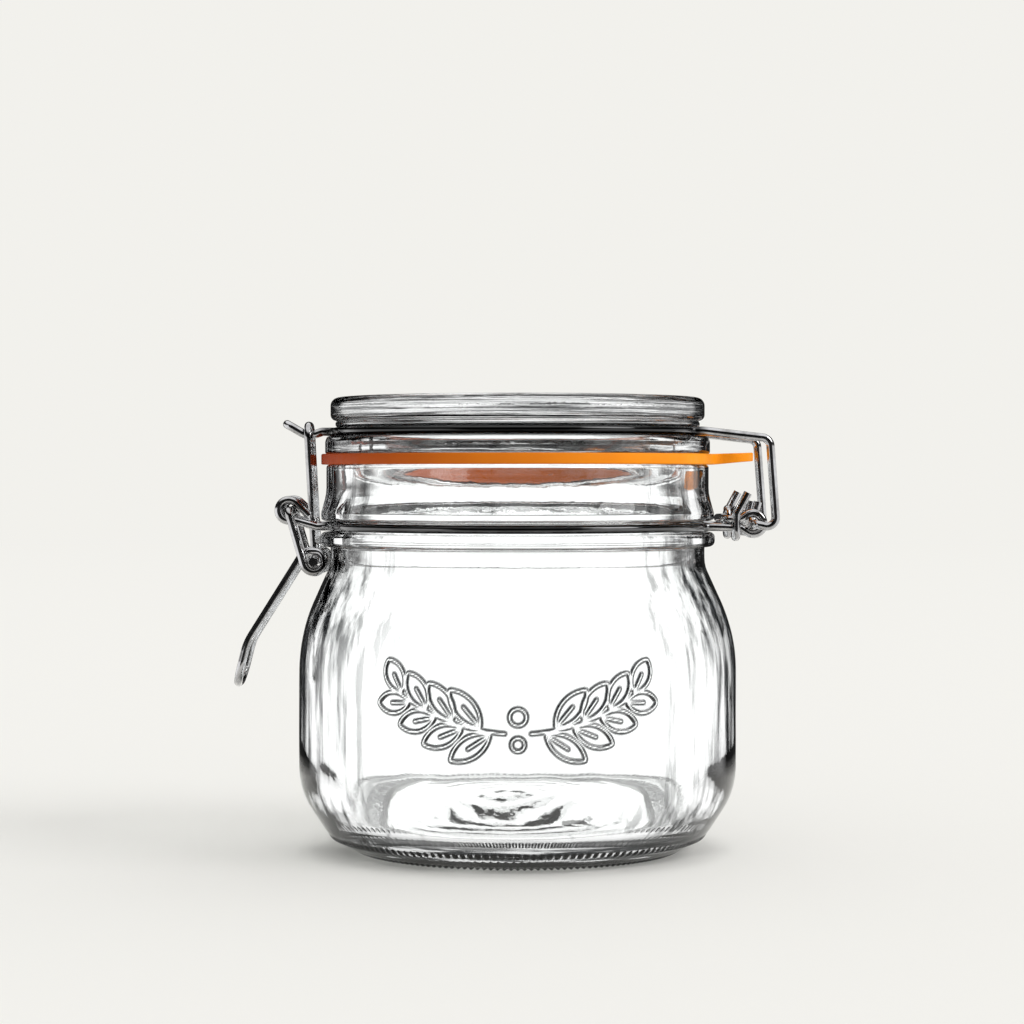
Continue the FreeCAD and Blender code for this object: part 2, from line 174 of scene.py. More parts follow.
# The embossed sprig
front = -math.pi / 2         # direction of the side that it is on
sprig_parts = 7              # parts of a column at the sprig
sprig_step = 0.34
sprig_half = 35.5            # half the width of the stretch that is fine for it
sprig_low = 25.4
sprig_high = 53.0
sprig_sag = 1.2              # how far the shoulder curves in over that height
sprig_fine_sag = 0.9         # how far it does so where its steps are fine
sprig_over = 9.5             # the fine stretch reaches this far above the stem
sprig_under = 11.0           # and this far below it
sprig_z = 40.0
stem_drop = 7.0              # the stem's middle lies this far below sprig_z
stem_bend = 0.011            # how fast it rises to the sides
stem_reach = 29.0            # half its length
stem_gap = 3.0               # half the gap in its middle
leaf_pairs = 4
leaf_first = 5.5
leaf_pitch = 6.4
leaf_offset = 2.4            # an upper leaf sits further out than the lower one
leaf_length = 11.0
leaf_shrink = 0.9            # each leaf is shorter than the one before
leaf_width = 4.8
leaf_stalk = 1.0
leaf_angle = 40              # degrees from the stem
leaf_fold = 3                # degrees less from leaf to leaf
berries = ((-3.2, 1.9), (-9.4, 1.5))    # height and radius
ridge_height = 0.5
ridge_width = 0.45


# ---------------------------------------------------------------- small tools
def smooth_step(x, low, high):
    t = np.clip((x - low) / (high - low), 0, 1)
    return t * t * (3 - 2 * t)


def bump(distance, width):
    return np.exp(-(distance / width) ** 2)


def rounded(corners, run_step):
    """Points along an outline of (radius, height, rounding) corners."""
    arc_step = math.radians(9)
    points = [np.array(corners[0][:2], float)]

    def run_to(end):
        start = points[-1]
        length = np.linalg.norm(end - start)
        if length < 1e-4:
            return
        count = max(1, math.ceil(length / run_step((start + end) / 2)))
        for k in range(1, count + 1):
            points.append(start + (end - start) * k / count)

    for i in range(1, len(corners) - 1):
        corner = np.array(corners[i][:2], float)
        into = corner - np.array(corners[i - 1][:2], float)
        out = np.array(corners[i + 1][:2], float) - corner
        into /= np.linalg.norm(into)
        out /= np.linalg.norm(out)
        turn = math.acos(np.clip(np.dot(into, out), -1, 1))
        radius = corners[i][2]
        setback = radius * math.tan(turn / 2)
        start = corner - into * setback
        run_to(start)
        if radius == 0:
            continue
        bisector = (out - into) / np.linalg.norm(out - into)
        centre = corner + bisector * radius / math.cos(turn / 2)
        coarse_turn = arc_step if radius > small_rounding else 2 * arc_step
        along_arc = math.ceil(radius * turn / run_step(corner))
        count = max(2, math.ceil(turn / coarse_turn), along_arc)
        spoke = start - centre
        side = np.sign(into[0] * out[1] - into[1] * out[0])
        for k in range(1, count + 1):
            a = side * turn * k / count
            spin = np.array([[math.cos(a), -math.sin(a)], [math.sin(a), math.cos(a)]])
            points.append(centre + spin @ spoke)
    run_to(np.array(corners[-1][:2], float))
    return np.array(points)


def outward(points):
    """Unit normals of an outline that has its inside on the left."""
    along = np.gradient(points, axis=0)
    normal = np.stack([along[:, 1], -along[:, 0]], axis=1)
    return normal / np.linalg.norm(normal, axis=1)[:, None]


def new_mesh(name, vertices, faces, material, body, stands_for):
    mesh = bpy.data.meshes.new(name)
    mesh.from_pydata([tuple(v) for v in vertices], [], faces)
    mesh.polygons.foreach_set("use_smooth", [True] * len(faces))
    mesh.validate()
    mesh.update()
    mesh.materials.append(material)
    piece = bpy.data.objects.new(name, mesh)
    bpy.context.scene.collection.objects.link(piece)
    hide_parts(stands_for)
    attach(piece, body)
    return piece


def turned(points, parts_at, relief):
    """Vertices and faces of an outline turned round the jar's axis.

    Both ends of the outline lie on the axis. parts_at gives, for a point of the
    outline, into how many parts each coarse column is divided there. relief
    gives how far the skin stands out, in millimetres.
    """
    normals = outward(points)
    step = 2 * math.pi / coarse_steps
    vertices = [(axis_x, 0.0, points[0][1] * MM)]
    plain = [(0.0, 0.0, math.copysign(1, normals[0][1]))]
    firsts = []
    parts = []
    for (r, z), (nr, nz) in zip(points[1:-1], normals[1:-1]):
        split = parts_at(r, z)
        angles = np.concatenate([step * (j + np.arange(n) / n) for j, n in enumerate(split)])
        out = relief(r, z, nr, nz, angles)
        radius = r + out * nr
        height = z + out * nz
        start = len(vertices)
        firsts.append(start + np.concatenate([[0], np.cumsum(split)]))
        parts.append(split)
        ring = np.stack(
            [
                axis_x + radius * np.cos(angles) * MM,
                radius * np.sin(angles) * MM,
                np.broadcast_to(height, angles.shape) * MM,
            ],
            axis=1,
        )
        vertices.extend(ring.tolist())
        level = np.broadcast_to(nz, angles.shape)
        plain.extend(np.stack([nr * np.cos(angles), nr * np.sin(angles), level], axis=1).tolist())
    vertices.append((axis_x, 0.0, points[-1][1] * MM))
    plain.append((0.0, 0.0, math.copysign(1, normals[-1][1])))
    faces = []
    last = len(vertices) - 1

    def corner(ring, j, k):
        """Vertex k of coarse column j of a ring; the last one wraps round."""
        index = firsts[ring][j] + k
        return int(index if index < firsts[ring][-1] else firsts[ring][0])

    for i in range(len(firsts) - 1):
        for j in range(coarse_steps):
            a, b = parts[i][j], parts[i + 1][j]
            if a == b:
                for k in range(a):
                    faces.append(
                        (corner(i, j, k), corner(i, j, k + 1),
                         corner(i + 1, j, k + 1), corner(i + 1, j, k))
                    )
            elif a == 1:
                fan = [corner(i + 1, j, k) for k in range(b, -1, -1)]
                faces.append(tuple([corner(i, j, 0), corner(i, j, 1)] + fan))
            else:
                fan = [corner(i, j, k) for k in range(a + 1)]
                faces.append(tuple(fan + [corner(i + 1, j, 1), corner(i + 1, j, 0)]))
    for j in range(coarse_steps):
        for k in range(parts[0][j]):
            faces.append((0, corner(0, j, k + 1), corner(0, j, k)))
        end = len(firsts) - 1
        for k in range(parts[end][j]):
            faces.append((last, corner(end, j, k), corner(end, j, k + 1)))
    return vertices, faces, plain


def mark_skin(piece, plain, floor_z):
    """Stores on each vertex how steeply the relief tilts the skin there, and
    whether it lies on the outer skin. floor_z is above the jar's inner floor."""
    mesh = piece.data
    count = len(mesh.vertices)
    turned_normals = np.empty(count * 3, np.float32)
    mesh.vertex_normals.foreach_get("vector", turned_normals)
    places = np.empty(count * 3, np.float32)
    mesh.vertices.foreach_get("co", places)
    places = places.reshape(-1, 3)
    plain = np.array(plain)
    along = np.einsum("ij,ij->i", turned_normals.reshape(-1, 3), plain)
    tilt = np.sqrt(np.clip(1 - along ** 2, 0, 1))
    radial = places[:, :2] - (axis_x, 0)
    radial /= np.maximum(np.linalg.norm(radial, axis=1), 1e-6)[:, None]
    away = np.einsum("ij,ij->i", radial, plain[:, :2])
    inner = (away < -0.05) | ((plain[:, 2] > 0.3) & (places[:, 2] < floor_z * MM))
    for name, values in (("tilt", tilt), ("outer", 1.0 - inner)):
        layer = mesh.attributes.new(name, "FLOAT", "POINT")
        layer.data.foreach_set("value", values.astype(np.float32))


def waves(angles, height, counts, phase, lean):
    """Slow, uneven swell round a piece, which drifts with the height."""
    total = 0
    for n, count in enumerate(counts):
        total = total + np.sin(count * angles + phase * (n + 1) + lean * count * height) / (n + 1)
    return total / 2


# ---------------------------------------------------------------- the sprig
def leaf(across, up, length, width):
    """Distance to the outline and midrib of a leaf that starts at the origin."""
    half, thick = length / 2, width / 2
    bend = (half ** 2 + thick ** 2) / (2 * thick)
    x = across - half
    edge = np.abs(np.hypot(x, np.abs(up) + bend - thick) - bend)
    beyond = np.maximum(np.abs(x) - half, 0)
    rib = np.hypot(np.maximum(np.abs(x + half * 0.35) - half * 0.45, 0), up)
    return np.minimum(np.hypot(edge, beyond), rib)


def above_stem(u, v):
    """How high a point lies over the sprig's stem."""
    return v - (stem_bend * u ** 2 - stem_drop)


def sprig(u, v):
    """Height of the embossed sprig: two branches of leaves and two berries."""
    u = np.abs(u)
    slope = np.sqrt(1 + (2 * stem_bend * u) ** 2)
    distance = np.where(u < stem_reach, np.abs(above_stem(u, v)) / slope, 9.0)
    distance = np.hypot(distance, np.maximum(stem_gap - u, 0))
    for n in range(leaf_pairs):
        for side in (-1, 1):
            foot = leaf_first + leaf_pitch * n + (leaf_offset if side > 0 else 0)
            spread = math.radians(leaf_angle - leaf_fold * n)
            angle = math.atan(2 * stem_bend * foot) + side * spread
            du = u - foot
            dv = above_stem(foot, v)
            along = du * math.cos(angle) + dv * math.sin(angle)
            up = dv * math.cos(angle) - du * math.sin(angle)
            length = leaf_length - leaf_shrink * n
            distance = np.minimum(distance, leaf(along - leaf_stalk, up, length, leaf_width))
    for berry_v, berry_r in berries:
        distance = np.minimum(distance, np.abs(np.hypot(u, v - berry_v) - berry_r))
    return ridge_height * bump(distance, ridge_width)


# ---------------------------------------------------------------- glass jar
def jar_outline():
    ring_in_r = bearing_r - bearing_width
    inner_r = belly_r - body_wall
    corners = [
        (0, push_up, 0),
        (ring_in_r - push_up_slope, push_up - push_up_drop, 2.0),
        (ring_in_r, 0, 0.8),
        (bearing_r, 0, 1.2),
        (heel_r, heel_z, 10.0),
        (belly_r, belly_low, 18.0),
        (belly_r, sprig_low, 0),    # cuts the straight side, so that less of it is fine
        (belly_r, belly_high, 42.0),
        (waist_r, waist_low, 9.0),
        (waist_r, collar_z, 0.5),
        (collar_r, collar_z, 1.3),
        (collar_r, neck_groove_z, 1.3),
        (neck_groove_r, neck_groove_z, 0.6),
        (neck_groove_r, neck_groove_top, 0.6),
        (neck_lip_r, neck_groove_top, 0.8),
        (neck_lip_r, neck_groove_top + neck_lip_height, 2.0),
        (neck_r, neck_groove_top + neck_taper, 10.0),
        (neck_r, rim_z, 0.8),
        (mouth_r, rim_z, 0.8),
        (mouth_r, rim_z - mouth_land, 1.0),
        (neck_swell_r, neck_swell_z, 30.0),
        (neck_bore_r, neck_bore_z, 10.0),
        (neck_bore_r, shoulder_in_high, 12.0),
        (inner_r, shoulder_in_low, 36.0),
        (inner_r, inner_heel_z, 26.0),
        (inner_foot_r, inner_foot_z, 14.0),
        (floor_edge_r, floor_edge_z, 12.0),
        (0, base_thickness + base_dome, 0),
    ]

    def step(place):
        r, z = place
        if z < foot_top and ring_in_r < r < foot_out_r:
            return tooth_step
        if r > belly_r - sprig_fine_sag and sprig_low < z < sprig_high:
            return sprig_step
        if r < ring_in_r - 1.0 and z < base_thickness + 3.0:
            return floor_step
        return plain_step

    return rounded(corners, step)


def on_teeth(r, z):
    on_foot = z < foot_top and bearing_r - bearing_width - 0.4 < r < foot_out_r
    return on_foot and (z < 2.2 or r > bearing_r)


def on_sprig(r, z):
    return r > belly_r - sprig_sag and sprig_low - 0.2 < z < sprig_high + 0.2


def round_from_front(angles):
    """Distance round the belly from the middle of the front."""
    return belly_r * (np.mod(angles - front + math.pi, 2 * math.pi) - math.pi)


def jar_parts(r, z):
    """Into how many parts each coarse column is divided at a height."""
    split = np.ones(coarse_steps, int)
    if on_teeth(r, z):
        split[:] = tooth_parts
    elif on_sprig(r, z):
        u = round_from_front((np.arange(coarse_steps) + 0.5) * 2 * math.pi / coarse_steps)
        height = above_stem(u, z - sprig_z)
        near = (np.abs(u) < sprig_half) & (height > -sprig_under) & (height < sprig_over)
        split[near] = sprig_parts
    return split


def underside_relief(r, angles):
    """Faint rings and a small ring mark, which show through the floor."""
    x, y = r * np.cos(angles), r * np.sin(angles)
    rings = 1.9 * np.hypot(x - 2.0, 1.06 * (y + 1.5)) + 0.5 * np.sin(angles * 2 + 0.7)
    fade = smooth_step(r, 1.0, 6.0) * (1 - smooth_step(r, 30.0, 34.0))
    mark = bump(np.hypot(x - mark_place[0], y - mark_place[1]) - mark_r, mark_width)
    return -underside_ripple * fade * np.sin(rings) - mark_depth * mark


def inside_relief(r, z, angles):
    """Uneven swell of the walls, and rings on the floor."""
    body = smooth_step(z, 8.0, 20.0) * (1 - smooth_step(z, 56.0, 70.0))
    neck = smooth_step(z, 60.0, 70.0)
    floor = (1 - smooth_step(z, 8.5, 12.0)) * smooth_step(r, 1.0, 6.0)
    rings = 1.15 * np.hypot(r * np.cos(angles) + 3.0, r * np.sin(angles) - 2.0)
    out = body_wave * body * waves(angles, z, (3, 7, 13, 22, 31), 1.7, 0.02)
    out += neck_wave * neck * waves(angles, z, (5, 11), 0.4, 0.02)
    return out + floor_ripple * floor * np.sin(rings)


def outside_relief(r, z, angles):
    """Slight swell, two mould seams and the sprig."""
    below_waist = 1 - smooth_step(z, 66.0, 72.0)
    body = smooth_step(z, 4.0, 12.0) * below_waist
    seams = bump(np.sin(angles) * r, seam_width) * smooth_step(z, 6.0, 12.0) * below_waist
    out = outer_wave * body * waves(angles, z, (5, 9, 17), 0.6, 0.03) + seam_height * seams
    if on_sprig(r, z):
        u = round_from_front(angles)
        out += np.where(np.abs(u) < sprig_half, sprig(u, z - sprig_z), 0)
    return out


def foot_relief(r, z, nr, angles):
    """Notches in the ring that the jar stands on, and a row of studs above them."""
    ring_in_r = bearing_r - bearing_width
    reach = smooth_step(r, ring_in_r, ring_in_r + 0.8)
    reach *= 1 - smooth_step(r, bearing_r + 0.8, bearing_r + 2.0)
    out = -tooth_depth * reach * (0.5 - 0.5 * np.cos(angles * tooth_count))
    if nr > 0.3:
        studs = smooth_step(np.cos(angles * tooth_count), -0.2, 0.6)
        out += stud_height * bump(z - stud_z, stud_size) * studs
    return out


def jar_relief(r, z, nr, nz, angles):
    """How far the skin stands out at a point of the outline with normal (nr, nz)."""
    on_rim = z > rim_z - 0.5 and nr > -0.2
    in_cavity = z > base_thickness - 0.5 and r < belly_r - 2.5
    facing_in = nr < 0.2 and nz > -0.95
    underside = nz < -0.8 and r < bearing_r - bearing_width and z < push_up + 0.3
    if underside:
        out = underside_relief(r, angles)
    elif in_cavity and facing_in and not on_rim:
        out = inside_relief(r, z, angles)
    else:
        out = outside_relief(r, z, angles)
    if on_teeth(r, z):
        out = out + foot_relief(r, z, nr, angles)
    return out


# ---------------------------------------------------------------- glass lid
def lid_outline():
    plate_under = lid_top_z - lid_recess - lid_plate
    hollow_r = plug_r - plug_wall
    corners = [
        (0, plate_under, 0),
        (hollow_r - hollow_draft, plate_under, 4.0),
        (hollow_r, flange_z - plug_depth, 2.0),
        (plug_r - plug_draft, flange_z - plug_depth, 1.2),
        (plug_r, flange_z, 0.5),
        (flange_r, flange_z, 0.5),
        (flange_r, lid_groove_z - flange_slant, 0.8),
        (flange_r - flange_draft, lid_groove_z, 0.8),
        (lid_groove_r, lid_groove_z, 0.5),
        (lid_groove_r, lid_bead_z, 0.5),
        (lid_bead_r, lid_bead_z, 0.5),
        (lid_bead_r, lid_rim_z - bead_slant_z, 0.4),
        (lid_bead_r - bead_slant_r, lid_rim_z, 0.2),
        (lid_rim_r, lid_rim_z, 1.4),
        (lid_rim_r, lid_top_z, 2.0),
        (lid_rim_inner_r + recess_slant, lid_top_z, 1.0),
        (lid_rim_inner_r, lid_top_z - lid_recess, 1.5),
        (0, lid_top_z - lid_recess, 0),
    ]
    return rounded(corners, lambda place: lid_step if place[0] > plug_r - 2 else lid_inner_step)


def lid_parts(r, z):
    """The lid has no fine relief, so its columns stay whole."""
    return np.ones(coarse_steps, int)


def lid_relief(r, z, nr, nz, angles):
    """Slight swell and two mould seams on the side, rings on the plate."""
    out = np.zeros_like(angles)
    if nr > 0.5 and z > flange_z + 0.4:
        out += lid_wave * waves(angles, z, (3, 8, 15), 2.3, 0.02)
        out += seam_height * bump(np.cos(angles) * r, seam_width)
    elif abs(nz) > 0.8 and r < lid_rim_inner_r - 2:
        rings = 0.55 * np.hypot(r * np.cos(angles) - 4.0, r * np.sin(angles) + 2.0)
        out += lid_ripple * np.sin(rings) * smooth_step(r, 1.0, 6.0) - lid_sink
    return out


# ---------------------------------------------------------------- rubber seal
def seal_edge():
    """Outer edge of the seal in plan: a circle with a round-ended tab at +X."""
    half = tab_width / 2
    centre_y = half + tab_fillet
    centre_x = math.sqrt((seal_r + tab_fillet) ** 2 - centre_y ** 2)
    touch = math.atan2(centre_y, centre_x)
    points = []
    for a in np.linspace(touch, 2 * math.pi - touch, seal_round_steps):
        points.append((seal_r * math.cos(a), seal_r * math.sin(a)))
    for a in np.linspace(math.pi - touch, math.pi / 2, tab_fillet_steps)[1:]:
        points.append((centre_x + tab_fillet * math.cos(a), tab_fillet * math.sin(a) - centre_y))
    end_x = tab_end - half
    for x in np.linspace(centre_x, end_x, tab_side_steps)[1:]:
        points.append((x, -half))
    for a in np.linspace(-math.pi / 2, math.pi / 2, tab_end_steps)[1:]:
        points.append((end_x + half * math.cos(a), half * math.sin(a)))
    for x in np.linspace(end_x, centre_x, tab_side_steps)[1:]:
        points.append((x, half))
    for a in np.linspace(-math.pi / 2, -math.pi + touch, tab_fillet_steps)[1:-1]:
        points.append((centre_x + tab_fillet * math.cos(a), tab_fillet * math.sin(a) + centre_y))
    return np.array(points)


def seal_mesh():
    """Vertices and faces of the ring with its tab, thinner and raised at the tab."""
    edge = seal_edge()
    angle = np.arctan2(edge[:, 1], edge[:, 0])
    bore = seal_bore_r * np.stack([np.cos(angle), np.sin(angle)], axis=1)
    turns = np.linspace(math.pi / 2, 0, 4)
    corner = [seal_edge_round * (1 - math.cos(a)) for a in turns]
    rise = [seal_edge_round * (1 - math.sin(a)) for a in turns]
    across = np.linspace(0, 1, seal_across_steps)
    rows = []
    # (fraction from bore to edge, inset in mm, drop from the face in mm), up then down
    for side in (1, -1):
        face = [(0.0, c, r) for c, r in zip(reversed(corner), reversed(rise))]
        face += [(f, 0.0, 0.0) for f in across[1:-1]]
        face += [(1.0, c, r) for c, r in zip(corner, rise)]
        rows += [(f, c, r, side) for f, c, r in (face if side > 0 else reversed(face))]
    middle = seal_low.z / MM + seal_thickness / 2
    vertices = []
    for f, inset, drop, side in rows:
        base = bore + (edge - bore) * f
        radius = np.linalg.norm(base, axis=1)
        pull = inset if f == 0.0 else -inset
        shrink = (radius + pull) / radius
        x, y = base[:, 0] * shrink, base[:, 1] * shrink
        on_tab = smooth_step(radius, seal_r - 1.5, tab_end)
        half = seal_thickness / 2 + (tab_thickness - seal_thickness) / 2 * on_tab
        lift = tab_rise * np.clip((radius - seal_r) / (tab_end - seal_r), 0, 1)
        swell = seal_swell * np.sin(angle * 5 + 0.8) * (1 if f == 1.0 else 0)
        x = x + swell * np.cos(angle)
        y = y + swell * np.sin(angle)
        z = middle + lift + side * (half - drop)
        vertices += [(axis_x + a * MM, b * MM, c * MM) for a, b, c in zip(x, y, z)]
    count, n = len(edge), len(rows)
    faces = []
    for i in range(n):
        for j in range(count):
            a, b = i * count, ((i + 1) % n) * count
            k = (j + 1) % count
            faces.append((a + j, b + j, b + k, a + k))
    return vertices, faces


# ---------------------------------------------------------------- materials
# Stretches over which a painted shade comes or goes, in millimetres
heel_shade_r = (36.5, 38.5)
heel_shade_z = (5.5, 9.0)
lid_shade_r = (40.0, 41.5)
groove_shade = (1.3, 1.7)    # up and down from the middle of the lid's groove
wire_shade_r = (46.8, 49.0)  # a wire nearer the axis lies in a groove
bore_shade_r = (41.4, 42.0)

painted_dark_glass = (0.03, 0.032, 0.034, 1)     # what the glass lets through where its painted shade is darkest
glass_shadow = (0.88, 0.885, 0.88, 1)    # what it lets through to the floor


def node_material(name):
    material = bpy.data.materials.new(name)
    material.use_nodes = True
    tree = material.node_tree
    return material, tree, tree.nodes["Principled BSDF"]


def add(tree, kind, inputs=None, **settings):
    """A new node. An input that is given as a socket is linked to it."""
    node = tree.nodes.new(kind)
    for key, value in settings.items():
        setattr(node, key, value)
    for key, value in (inputs or {}).items():
        if isinstance(value, bpy.types.NodeSocket):
            tree.links.new(value, node.inputs[key])
        else:
            node.inputs[key].default_value = value
    return node


def noise(tree, where, scale, detail, roughness=0.5, squeeze=None):
    if squeeze:
        where = add(tree, "ShaderNodeMapping", {"Vector": where, "Scale": squeeze}).outputs[0]
    inputs = {"Vector": where, "Scale": scale, "Detail": detail, "Roughness": roughness}
    return add(tree, "ShaderNodeTexNoise", inputs).outputs["Fac"]


def ramp(tree, value, low, high, out_low, out_high):
    inputs = {
        "Value": value, "From Min": low, "From Max": high,
        "To Min": out_low, "To Max": out_high,
    }
    return add(tree, "ShaderNodeMapRange", inputs, clamp=True).outputs[0]


def combine(tree, operation, *values, clamp=False):
    """The result of a Math node on one or two values."""
    inputs = dict(enumerate(values))
    return add(tree, "ShaderNodeMath", inputs, operation=operation, use_clamp=clamp).outputs[0]


def over(tree, value, stretch, out_low, out_high):
    """A ramp over a stretch that is given in millimetres."""
    return ramp(tree, value, stretch[0] * MM, stretch[1] * MM, out_low, out_high)


def split_up(tree, vector):
    return add(tree, "ShaderNodeSeparateXYZ", {0: vector}).outputs


def distance_to(tree, place, centre):
    inputs = {0: place, 1: centre}
    return add(tree, "ShaderNodeVectorMath", inputs, operation="DISTANCE").outputs["Value"]


def from_axis(tree, where):
    """Distance from the jar's own axis."""
    across = split_up(tree, where)
    flat = add(tree, "ShaderNodeCombineXYZ", {0: across[0], 1: across[1]}).outputs[0]
    return distance_to(tree, flat, (axis_x, 0, 0))


def seen_edge_on(tree):
    return add(tree, "ShaderNodeLayerWeight", {"Blend": 0.5}).outputs["Facing"]


def stored(tree, name):
    """A value that mark_skin keeps on the vertices."""
    return add(tree, "ShaderNodeAttribute", attribute_name=name).outputs["Fac"]


def mix_shaders(tree, factor, first, second):
    return add(tree, "ShaderNodeMixShader", {0: factor, 1: first, 2: second}).outputs[0]


def bumped(tree, height, strength, distance, after=None):
    inputs = {"Height": height, "Strength": strength, "Distance": distance}
    if after is not None:
        inputs["Normal"] = after
    return add(tree, "ShaderNodeBump", inputs).outputs[0]


def blend(tree, factor, first, second):
    mix = add(tree, "ShaderNodeMix", {"Factor": factor}, data_type="RGBA")
    for socket, colour in ((mix.inputs[6], first), (mix.inputs[7], second)):
        if isinstance(colour, bpy.types.NodeSocket):
            tree.links.new(colour, socket)
        else:
            socket.default_value = colour
    return mix.outputs[2]


def light_path(tree, kind):
    """1 for rays of the named kind, else 0."""
    return add(tree, "ShaderNodeLightPath").outputs[kind]


def edge_shade(tree, where, streak_squeeze):
    """Painted shade: 1 where upright outer skin is seen edge-on, broken up by streaks."""
    streaks = noise(tree, where, 250.0, 3.0, 0.6, streak_squeeze)
    uneven = combine(tree, "ADD", seen_edge_on(tree), ramp(tree, streaks, 0.35, 0.65, -0.25, 0.3))
    edge_on = ramp(tree, uneven, 0.45, 0.85, 0.0, 1.0)
    normal = add(tree, "ShaderNodeNewGeometry").outputs["Normal"]
    level = combine(tree, "ABSOLUTE", split_up(tree, normal)[2])
    upright = ramp(tree, level, 0.6, 0.9, 1.0, 0.0)
    shade = combine(tree, "MULTIPLY", edge_on, upright)
    return combine(tree, "MULTIPLY", shade, stored(tree, "outer"))


def heel_shade(tree, where):
    """Painted shade: dark bands low on the heel, which stand in for dark surroundings seen through
    it, only where a ray enters the glass.
    """
    outside = over(tree, from_axis(tree, where), heel_shade_r, 0.0, 1.0)
    low = over(tree, split_up(tree, where)[2], heel_shade_z, 1.0, 0.0)
    cloud = noise(tree, where, 300.0, 3.0, 0.6, (0.15, 0.15, 3.0))
    bands = ramp(tree, cloud, 0.4, 0.5, 0.3, 1.0)
    shade = combine(tree, "MULTIPLY", outside, low)
    shade = combine(tree, "MULTIPLY", shade, bands)
    leaving = add(tree, "ShaderNodeNewGeometry").outputs["Backfacing"]
    return combine(tree, "SUBTRACT", shade, leaving, clamp=True)


def lid_shade(tree, where):
    """Painted shade: level bands on the lid's side, which stand in for dark surroundings seen
    through it, and a painted dark groove behind its wire.
    """
    outside = over(tree, from_axis(tree, where), lid_shade_r, 0.0, 1.0)
    cloud = noise(tree, where, 250.0, 4.0, 0.6, (0.1, 0.1, 6.0))
    bands = combine(tree, "MULTIPLY", ramp(tree, cloud, 0.47, 0.62, 0.0, 0.85), outside)
    middle = (lid_groove_z + lid_bead_z) / 2 * MM
    beyond = combine(tree, "ABSOLUTE", combine(tree, "SUBTRACT", split_up(tree, where)[2], middle))
    groove = over(tree, beyond, groove_shade, 0.95, 0.0)
    groove = combine(tree, "MULTIPLY", groove, stored(tree, "outer"))
    return combine(tree, "MAXIMUM", bands, groove)


def clear_glass(name, streak_squeeze, clearest, own_shade):
    """Pressed soda glass: clear, with painted dark streaks where it is seen edge-on, which stand
    in for dark surroundings seen through it.

    Its second argument squeezes the painted streaks along one direction, clearest is
    what it lets through between them, and own_shade gives the painted shade that
    only this piece has.
    """
    material, tree, shader = node_material(name)
    where = add(tree, "ShaderNodeTexCoord").outputs["Object"]
    # Painted shade where the relief tilts the skin, which stands in for the dark that refraction
    # shows at its edges
    relief = ramp(tree, stored(tree, "tilt"), 0.15, 0.5, 0.0, 1.0)
    shade = combine(tree, "MAXIMUM", relief, own_shade(tree, where))
    shade = combine(tree, "MAXIMUM", shade, edge_shade(tree, where, streak_squeeze))
    # All these painted shades darken what the glass lets through
    through = blend(tree, shade, clearest, painted_dark_glass)
    # The shader lets through the square root of its colour
    tint = add(tree, "ShaderNodeGamma", {"Color": through, "Gamma": 2.0}).outputs[0]
    tree.links.new(tint, shader.inputs["Base Color"])
    shader.inputs["Transmission Weight"].default_value = 1.0
    shader.inputs["IOR"].default_value = 1.5
    haze = noise(tree, where, 60.0, 4.0)
    tree.links.new(ramp(tree, haze, 0.45, 0.8, 0.0, 0.03), shader.inputs["Roughness"])
    skin = bumped(tree, noise(tree, where, 140.0, 2.0), 0.06, 0.0006)
    fine = bumped(tree, noise(tree, where, 900.0, 2.0), 0.05, 0.00008, skin)
    tree.links.new(fine, shader.inputs["Normal"])
    shadow = add(tree, "ShaderNodeBsdfTransparent", {"Color": glass_shadow}).outputs[0]
    surface = mix_shaders(tree, light_path(tree, "Is Shadow Ray"), shader.outputs[0], shadow)
    tree.links.new(surface, tree.nodes["Material Output"].inputs["Surface"])
    return material


def rubber():
    """Orange rubber with painted light and shade: lighter towards +X, where the key light falls,
    darker towards -X, and a painted shade in its bore that varies less.
    """
    material, tree, shader = node_material("orange_rubber")
    where = add(tree, "ShaderNodeTexCoord").outputs["Object"]
    worn = ramp(tree, noise(tree, where, 45.0, 4.0), 0.3, 0.7, 0.0, 1.0)
    # Painted light and shade: a shaded tone for the -X side and a lit tone for the +X side, where
    # the key light falls
    dark = blend(tree, worn, (0.34, 0.035, 0.003, 1), (0.42, 0.05, 0.003, 1))
    light = blend(tree, worn, (0.90, 0.25, 0.003, 1), (1.0, 0.33, 0.004, 1))
    along = ramp(tree, split_up(tree, where)[0], -0.045, 0.045, 0.0, 1.0)
    skin = blend(tree, along, dark, light)
    # Painted shade in the bore, which gets little light
    bore = blend(tree, along, (0.50, 0.08, 0.003, 1), (0.75, 0.16, 0.004, 1))
    middle = (axis_x, 0, seal_low.z + seal_thickness * MM / 2)
    in_bore = over(tree, distance_to(tree, where, middle), bore_shade_r, 1.0, 0.0)
    tree.links.new(blend(tree, in_bore, skin, bore), shader.inputs["Base Color"])
    shader.inputs["Specular IOR Level"].default_value = 0.15
    scuff = noise(tree, where, 700.0, 5.0, 0.6, (1, 1, 0.35))
    tree.links.new(ramp(tree, scuff, 0.3, 0.75, 0.42, 0.62), shader.inputs["Roughness"])
    tree.links.new(bumped(tree, scuff, 0.25, 0.0002), shader.inputs["Normal"])
    return material


